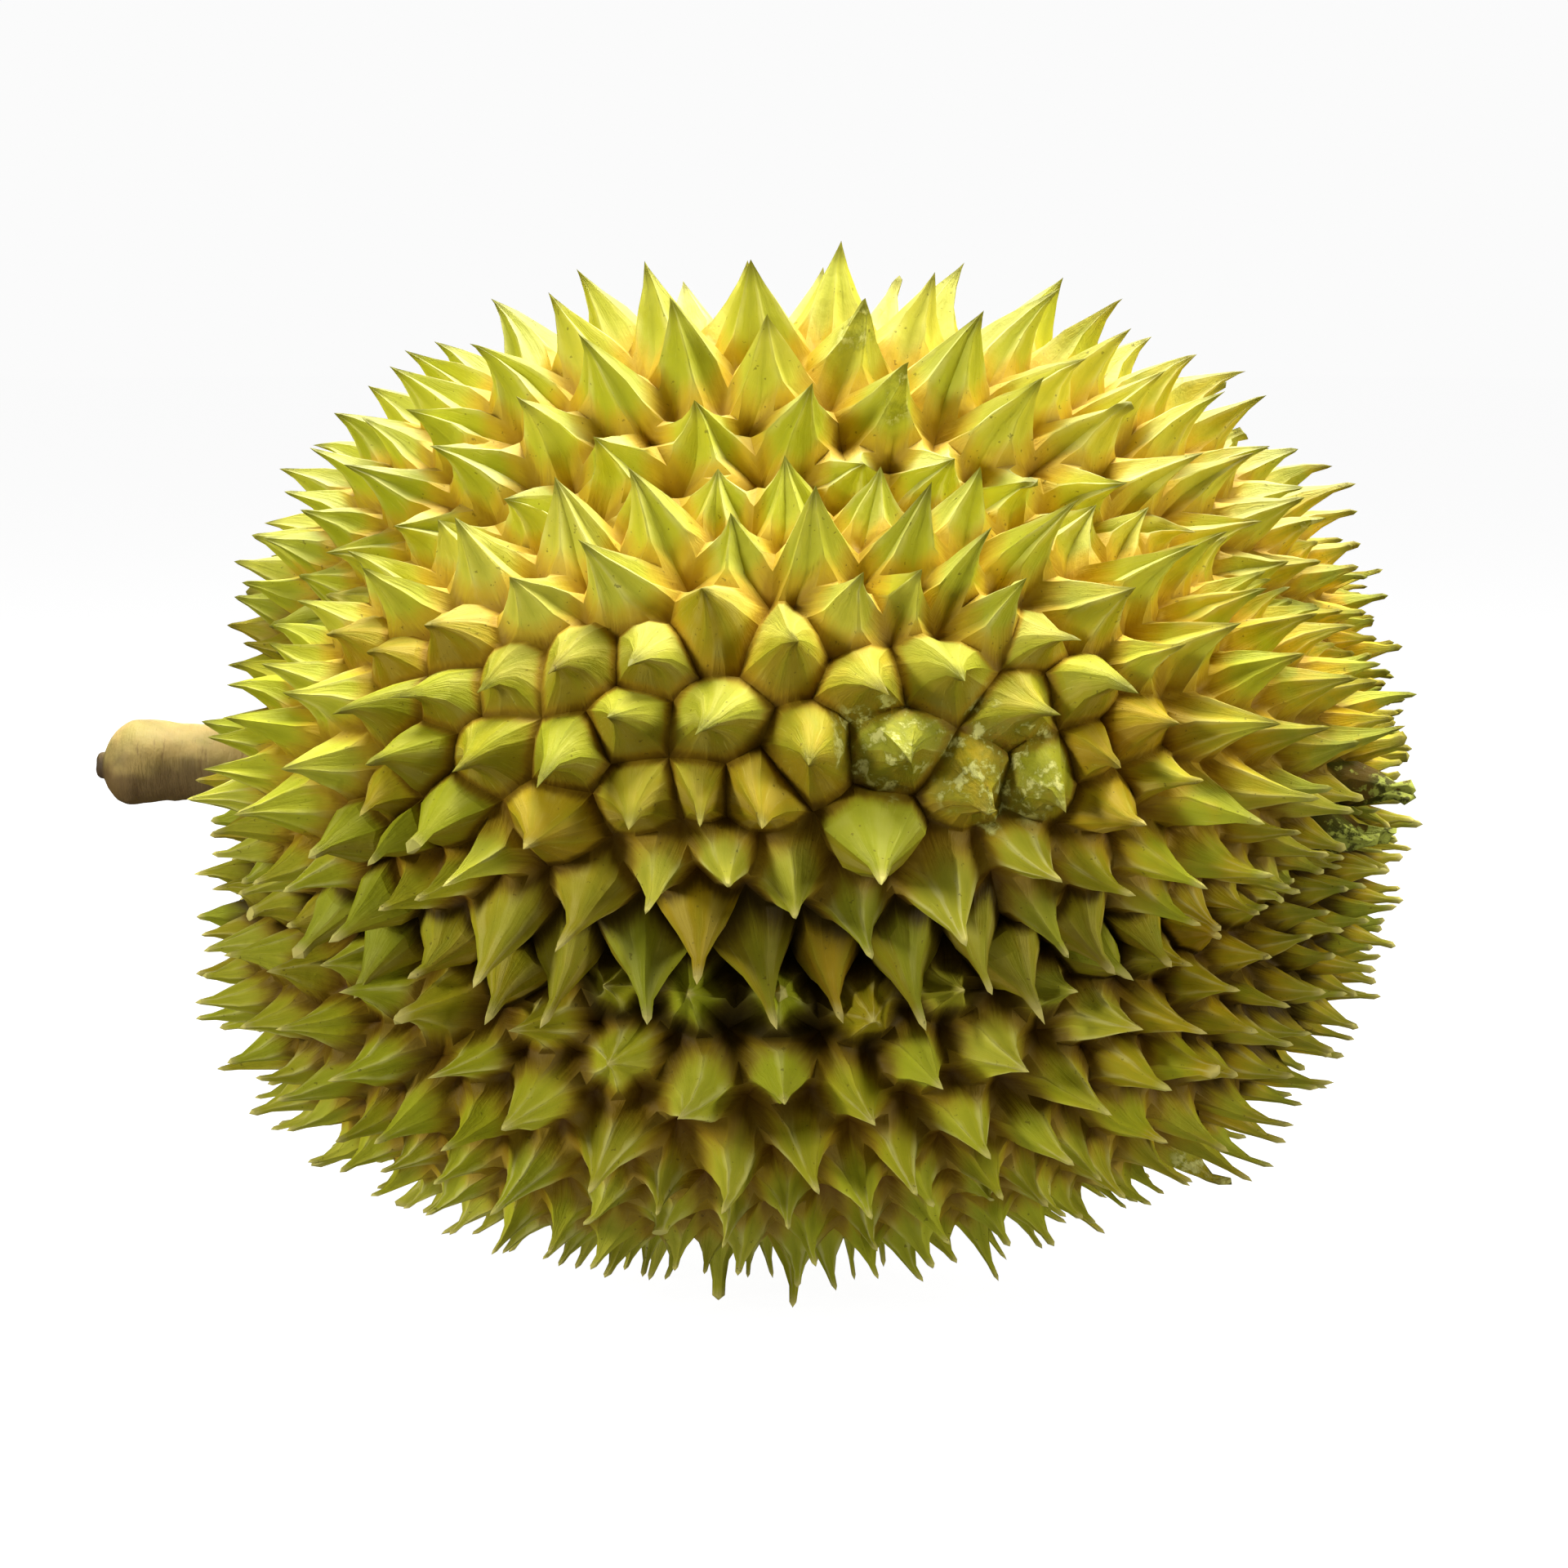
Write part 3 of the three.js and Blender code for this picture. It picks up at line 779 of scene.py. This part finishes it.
# %% The node maker
class Finish:
    """A procedural material in the making."""

    def __init__(self, name):
        self.material = bpy.data.materials.new(name)
        self.material.use_nodes = True
        self.tree = self.material.node_tree
        self.tree.nodes.clear()

    def node(self, kind, settings=None, sockets=None, out=0):
        """Makes a node, sets it up, feeds its sockets and gives back one of its outputs."""
        made = self.tree.nodes.new(kind)
        for name, value in (settings or {}).items():
            setattr(made, name, value)
        for name, value in (sockets or {}).items():
            if isinstance(value, Signal):
                self.tree.links.new(value.socket, made.inputs[name])
            else:
                made.inputs[name].default_value = value
        return Signal(self, made.outputs[out]) if made.outputs else None

    def mix(self, share, first, second):
        """A colour that goes from the first to the second with the share."""
        sockets = {"Factor": share, 6: first, 7: second}
        return self.node("ShaderNodeMix", {"data_type": "RGBA"}, sockets, out=2)

    def layers(self, colour, painted):
        """A colour with others laid over it, each with its own share, the last one on top."""
        for share, paint_over in painted:
            colour = self.mix(share, colour, paint_over)
        return colour

    def attribute(self, name):
        """A number that the mesh carries under a name."""
        return self.node("ShaderNodeAttribute", {"attribute_name": name}, out=2)

    def axes(self, place):
        """The three coordinates of a place or a direction, each as a signal of its own."""
        split = self.node("ShaderNodeSeparateXYZ", {}, {0: place})
        return [Signal(self, output) for output in split.socket.node.outputs]

    def grain(self, place, scale, detail=3.0, rough=0.55):
        """Noise of a given fineness, from 0 to 1."""
        sockets = {"Vector": place, "Scale": scale, "Detail": detail, "Roughness": rough}
        return self.node("ShaderNodeTexNoise", {}, sockets)

    def stretch(self, place, scale):
        """A place with each of its three axes scaled."""
        return self.node("ShaderNodeVectorMath", {"operation": "MULTIPLY"}, {0: place, 1: scale})

    def close(self, colour, rough, bumps, depth, **constants):
        """Ends the finish: colour, roughness and bump go to the shader, with its constants."""
        relief = {"Height": bumps, "Distance": depth, "Strength": 1.0}
        normal = self.node("ShaderNodeBump", {}, relief)
        sockets = {"Base Color": colour, "Roughness": rough, "Normal": normal}
        sockets.update({name.replace("_", " "): value for name, value in constants.items()})
        shader = self.node("ShaderNodeBsdfPrincipled", {}, sockets)
        self.node("ShaderNodeOutputMaterial", {}, {"Surface": shader})
        return self.material


# %% The paint mixer
def to_light(level):
    """One 0 to 255 display value as the linear light that a shader takes."""
    return level / 255 / 12.92 if level <= 10 else ((level / 255 + 0.055) / 1.055) ** 2.4


def paint(red, green, blue):
    return (to_light(red), to_light(green), to_light(blue), 1.0)


print("the lightest green of the rind:", [round(c, 3) for c in paint(226, 220, 80)])

# %% [markdown]
# ## The rind: what its colours depend on
#
# Fresh rind is a waxy yellow-green, but no two spines have the same one. It is yellow where it
# ripens at the blossom end, and pale along the ridges, partly from wear and partly as a painted
# highlight. On top of that the finish paints shade: browner and darker on the underside, in the
# grooves, on the crest and towards the blossom end. One noise over the fruit would miss that. So
# the finish first gathers its signals: how high up the spine a point is, how near to a ridge,
# which way it faces, and the marks that the mesh carries.

# %% Gather the rind's signals
skin = Finish("waxy spiny rind")
place = skin.node("ShaderNodeTexCoord", out=3)
growth_way = skin.node("ShaderNodeUVMap", {"uv_map": "growth"})
height = skin.axes(growth_way)[1]
along, _, up = skin.axes(place)
facing = skin.axes(skin.node("ShaderNodeNewGeometry", out=1))[2]
ridge, tint, sunk, damage, corky, blocky = [
    skin.attribute(name) for name in ("ridge", "tint", "sunk", "damage", "corky", "blocky")
]
print("nodes so far:", len(skin.tree.nodes))

# %% Grains, and the fruit's shaded, high and ripe parts
broad = skin.grain(place, 22)
patch = skin.grain(place, 75)
fibre = skin.grain(skin.stretch(growth_way, (60, 2.2, 1)), 1.0, 4.0, 0.6)
speck = skin.grain(place, 900, 2.0)
lower = up.step(0.15, 0.06) * (1 - up.step(0.06, 0.03) * 0.4)
high = up.step(0.085, 0.12)
blossom_end = along.step(0.07, 0.11)
# painted shade: a share that darkens the underside, the grooves, the blocky crest and the blossom
# end
shade = (lower * 0.6 + sunk * 0.55 + blocky * 0.35 + blossom_end * 0.35).step(0.0, 1.0)
ripe = along.step(0.03, 0.115) * broad.step(0.3, 0.6)
gold = along.step(0.092, 0.112) * patch.step(0.42, 0.52) * (0.4 + high * 0.45)
ragged = height + (fibre - 0.5) * 0.14 + (patch - 0.5) * 0.1
print("nodes so far:", len(skin.tree.nodes))

# %% [markdown]
# ## The rind: flanks and ridges
#
# The flanks come first, as a list of thin coats. Each coat is a share and a colour, and the list
# runs from the bottom coat to the top one, as a painter would glaze a model. That keeps every
# colour in one line, where it can be changed alone.

# %% Paint the flanks
blotch = (patch * 0.5 + tint * 0.5).step(0.42, 0.75)
amber = (patch * 0.6 + tint * 0.4).step(0.45, 0.65)
flank = skin.mix(broad.step(0.35, 0.65), paint(226, 220, 80), paint(204, 206, 44))
flank = skin.layers(flank, (
    (blotch * 0.6, paint(174, 178, 32)),
    # painted shade: the underside, the grooves, the blocky crest spines and the blossom end go
    # darker and browner, and some spines in that shade go browner or greener at random
    (shade * 0.45, paint(180, 168, 18)),
    (sunk * 0.45, paint(132, 120, 12)),
    (blocky * 0.5, paint(160, 148, 22)),
    (shade * tint.step(0.62, 0.8) * 0.5, paint(186, 146, 26)),
    (shade * tint.step(0.4, 0.2) * 0.4, paint(156, 178, 40)),
    (blocky * amber * 0.6, paint(204, 168, 24)),
    # painted shade: the blocky spines' downward-facing faces go dark brown
    (blocky * facing.step(0.3, -0.3) * 0.6, paint(138, 104, 12)),
    (ripe * patch.step(0.35, 0.6) * 0.8, paint(232, 180, 14)),
    (gold, paint(250, 204, 20)),
    (along.step(0.08, 0.105) * height.step(0.35, 0.7) * 0.55, paint(170, 180, 56)),
    # painted highlight: faces that look up on the top of the fruit go pale cream
    (facing.step(0.1, 0.9) * up.step(0.125, 0.165) * 0.5, paint(234, 230, 172)),
))
print("nodes so far:", len(skin.tree.nodes))

# %% Pale the ridges and draw the fibres
middle = (1 - ridge) * height.step(0.2, 0.45) * height.step(0.95, 0.6)
# pale ridges: partly wear and partly a painted highlight, weaker in the painted shade
worn = ridge.step(0.6, 1.0) * patch.step(0.4, 0.62) * (1 - shade * 0.4)
worn = worn * (1 - blocky * 0.7) * (1 - high * 0.45)
flank = skin.layers(flank, (
    (middle * 0.35, paint(150, 156, 18)),
    (worn * 0.6, paint(246, 240, 152)),
    (fibre.step(0.6, 0.78) * 0.3, paint(126, 112, 12)),
    (fibre.step(0.42, 0.25) * 0.3, paint(244, 234, 118)),
))
print("nodes so far:", len(skin.tree.nodes))

# %% [markdown]
# ## The rind: feet, tips, wounds and scar
#
# A spine is orange-brown at its foot, and painted shade darkens the foot further and paints the
# pits between the spines almost black, most of all in the grooves and on the underside. Tips on
# the upper side are dried dark, and those in the shade are pale. Bumps alone wouldn't show this,
# so each gets coats of its own, with an edge that the fibres fray.
# Wounds show paler, wet flesh in crumbs, and the blossom's scar is dark with light crumbs.

# %% Darken the feet and pits, and colour the tips
# painted shade: the foot band and the pits grow and darken where the rind is in shade or in a
# groove
foot = ragged.step(0.36 + shade * 0.12 + sunk * 0.12 - blocky * 0.18, 0.12 - blocky * 0.05)
pit = ragged.step(0.17 + shade * 0.17 + sunk * 0.08 - blocky * 0.12, 0.03)
pit = pit * (1 - ridge * (0.7 - shade * 0.5)) * (1 - high * 0.3)
foot_brown_and_shade = skin.mix(shade, paint(208, 166, 36), paint(104, 82, 6))
pit_shade_brown = skin.mix(shade, paint(136, 88, 6), paint(46, 32, 0))
flank = skin.layers(flank, (
    (foot * (0.72 + shade * 0.18), foot_brown_and_shade),
    (pit * 0.95, pit_shade_brown),
    (height.step(0.7, 0.98) * high * 0.7, paint(92, 88, 20)),
    (height.step(0.8, 0.97) * (1 - high) * 0.7, paint(236, 222, 132)),
    (speck.step(0.68, 0.74) * 0.5, paint(80, 62, 8)),
))
print("nodes so far:", len(skin.tree.nodes))

# %% Paint the wounds and the blossom's scar
crumb = skin.grain(place, 300, 4.0, 0.65)
cork = skin.grain(place, 620, 3.0, 0.6)
scarred = corky.step(0.1, 0.5)
flank = skin.layers(flank, (
    (damage.step(0.1, 0.8) * crumb.step(0.35, 0.6) * 0.6, paint(130, 132, 22)),
    (damage.step(0.2, 0.8) * crumb.step(0.52, 0.64) * 0.75, paint(240, 236, 140)),
    (scarred * 0.92, paint(60, 62, 8)),
    (scarred * patch.step(0.45, 0.6) * 0.6, paint(120, 88, 16)),
    (scarred * (cork * 0.7 + height * 0.25).step(0.47, 0.58) * 0.85, paint(194, 202, 84)),
))
print("nodes so far:", len(skin.tree.nodes))

# %% Close the rind's finish
WAX_RELIEF = 0.00035
WAX_SHINE = 0.16
rough = 0.46 + fibre * 0.12 + patch * 0.1
bumps = fibre * 0.6 + speck * 0.2 + skin.grain(place, 260) * 0.8 + crumb * (damage + corky) * 2
waxy = skin.close(flank, rough, bumps, WAX_RELIEF, Specular_IOR_Level=WAX_SHINE)
rind.data.materials.append(waxy)
print("nodes in the rind's finish:", len(skin.tree.nodes))

# %% [markdown]
# ## The stalk's wood
#
# The bark is tan where it is dry and sound, and it has brown patches, more of them on its under
# side. Fine cracks run round it, it is warmer where it leaves the fruit, and the nub at its end is
# dark. Wood grain drawn along the stalk would look like a cut stick.
# So its noise is squeezed along the stalk, which draws the cracks round it, and coats of colour
# go over it as on the rind.

# %% The stalk's finish
BARK_RELIEF = 0.0004
wood = Finish("dry stalk bark")
place = wood.node("ShaderNodeTexCoord", out=3)
along, _, up = wood.axes(place)
patch = wood.grain(place, 130)
broad = wood.grain(place, 60)
crack = wood.grain(wood.stretch(place, (900, 160, 160)), 1.0, 4.0, 0.65)
fine = wood.grain(place, 1500)
under = (up * -1 + STALK_END.z + 0.001).step(-0.003, 0.006)
brown_patch = (patch * 0.5 + broad * 0.5 + under * 0.35).step(0.55, 0.8)
root = along.step(STALK_ROOT.x - 0.022, STALK_ROOT.x - 0.01)
end = along.step(STALK_END.x + 0.0028, STALK_END.x + 0.0012)
bark = wood.mix(patch.step(0.35, 0.65), paint(198, 168, 96), paint(172, 144, 78))
bark = wood.layers(bark, (
    (broad.step(0.45, 0.65) * 0.6, paint(152, 144, 66)),
    (brown_patch * 0.75, paint(96, 66, 30)),
    (crack.step(0.58, 0.7) * 0.45, paint(110, 78, 36)),
    (root * 0.5, paint(222, 176, 104)),
    (end * 0.85, paint(70, 50, 26)),
))
bumps = crack * -0.7 + fine * 0.2 + patch * 0.6
stalk_wood.data.materials.append(wood.close(bark, 0.62 + fine * 0.15, bumps, BARK_RELIEF))
print("nodes in the stalk's finish:", len(wood.tree.nodes))

# %% [markdown]
# ## The stage
#
# The fruit lies on a pale, plain ground with hardly a shadow. A white sheet in soft light would
# do, but it throws light and the fruit's own colour back at the rind and flattens it. So the
# floor glows evenly by itself and sends nothing to the rind, and the world is white only where
# the camera looks straight at it.

# %% Lay the floor
FLOOR_RADIUS = 6
FLOOR_GREY = (0.12, 0.12, 0.12, 1)
FLOOR_GLOW = 0.955

floor_bm = bmesh.new()
bmesh.ops.create_circle(floor_bm, cap_ends=True, segments=64, radius=FLOOR_RADIUS)
floor_mesh = bpy.data.meshes.new("floor")
floor_bm.to_mesh(floor_mesh)
floor_bm.free()
floor = bpy.data.objects.new("floor", floor_mesh)
bpy.context.scene.collection.objects.link(floor)
floor.visible_diffuse = False
floor.visible_glossy = False
floor.visible_shadow = False
white = bpy.data.materials.new("white")
white.use_nodes = True
coat = white.node_tree.nodes["Principled BSDF"].inputs
coat["Base Color"].default_value = FLOOR_GREY
coat["Roughness"].default_value = 1
coat["Emission Color"].default_value = (1, 1, 1, 1)
coat["Emission Strength"].default_value = FLOOR_GLOW
floor_mesh.materials.append(white)
print("floor radius:", FLOOR_RADIUS)

# %% Set the world behind it
WORLD_LIGHT = 0.03
WORLD_SEEN = 0.965

world = bpy.data.worlds.new("studio")
world.use_nodes = True
bpy.context.scene.world = world
sky = world.node_tree
lit = sky.nodes["Background"]
seen = sky.nodes.new("ShaderNodeBackground")
for background, strength in ((lit, WORLD_LIGHT), (seen, WORLD_SEEN)):
    background.inputs["Color"].default_value = (1, 1, 1, 1)
    background.inputs["Strength"].default_value = strength
path = sky.nodes.new("ShaderNodeLightPath")
mix = sky.nodes.new("ShaderNodeMixShader")
sky.links.new(path.outputs["Is Camera Ray"], mix.inputs[0])
sky.links.new(lit.outputs[0], mix.inputs[1])
sky.links.new(seen.outputs[0], mix.inputs[2])
sky.links.new(mix.outputs[0], sky.nodes["World Output"].inputs["Surface"])
print("world nodes:", len(sky.nodes))

# %% [markdown]
# ## Lamps and camera
#
# A big lamp overhead makes the top bright and leaves the underside in shade, which is what gives
# a round fruit its weight. One lamp could do it, but the spines' shadows would be black. So
# small ones to the left and right pick out the ridges, one behind lights the far side, and a
# faint one from below stands for light that a table throws back. The camera has a long lens and
# looks a little down, so the fruit isn't stretched by nearness.

# %% Hang the lamps
def lamp(name, size, watts, place, aim):
    """Hangs a square lamp at a place and turns it towards its aim."""
    light = bpy.data.lights.new(name, "AREA")
    light.size = size
    light.energy = watts
    holder = bpy.data.objects.new(name, light)
    holder.location = place
    holder.rotation_euler = (Vector(aim) - Vector(place)).to_track_quat("-Z", "Y").to_euler()
    bpy.context.scene.collection.objects.link(holder)
    print("lamp", name, watts, "W")


lamp("overhead", 0.5, 22, (0.12, 0.13, 1.0), (0, 0, 0.1))
lamp("left", 0.22, 5.6, (-0.8, -0.55, 0.42), (0, 0, 0.07))
lamp("right", 0.3, 4.1, (0.85, -0.4, 0.35), (0, 0, 0.1))
lamp("behind", 0.6, 4.5, (-0.2, 0.9, 0.2), (0, 0, 0.07))
lamp("bounce", 0.8, 1.9, (-0.15, -0.5, -0.5), (0, 0, 0.05))

# %% Place the camera
HUSK_LOW, HUSK_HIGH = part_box("husk")
TARGET = Vector(((HUSK_LOW.x + HUSK_HIGH.x) / 2 - 0.0056, 0, 0.0985))
TILT = math.radians(8)
DISTANCE = 0.725
LENS = 85

camera_data = bpy.data.cameras.new("camera")
camera_data.lens = LENS
camera_data.sensor_width = 36
camera = bpy.data.objects.new("camera", camera_data)
camera.location = TARGET + DISTANCE * Vector((0, -math.cos(TILT), math.sin(TILT)))
camera.rotation_euler = (TARGET - camera.location).to_track_quat("-Z", "Y").to_euler()
bpy.context.scene.collection.objects.link(camera)
bpy.context.scene.camera = camera
bpy.context.scene.view_settings.view_transform = "Standard"
print("camera at", [round(c, 3) for c in camera.location])
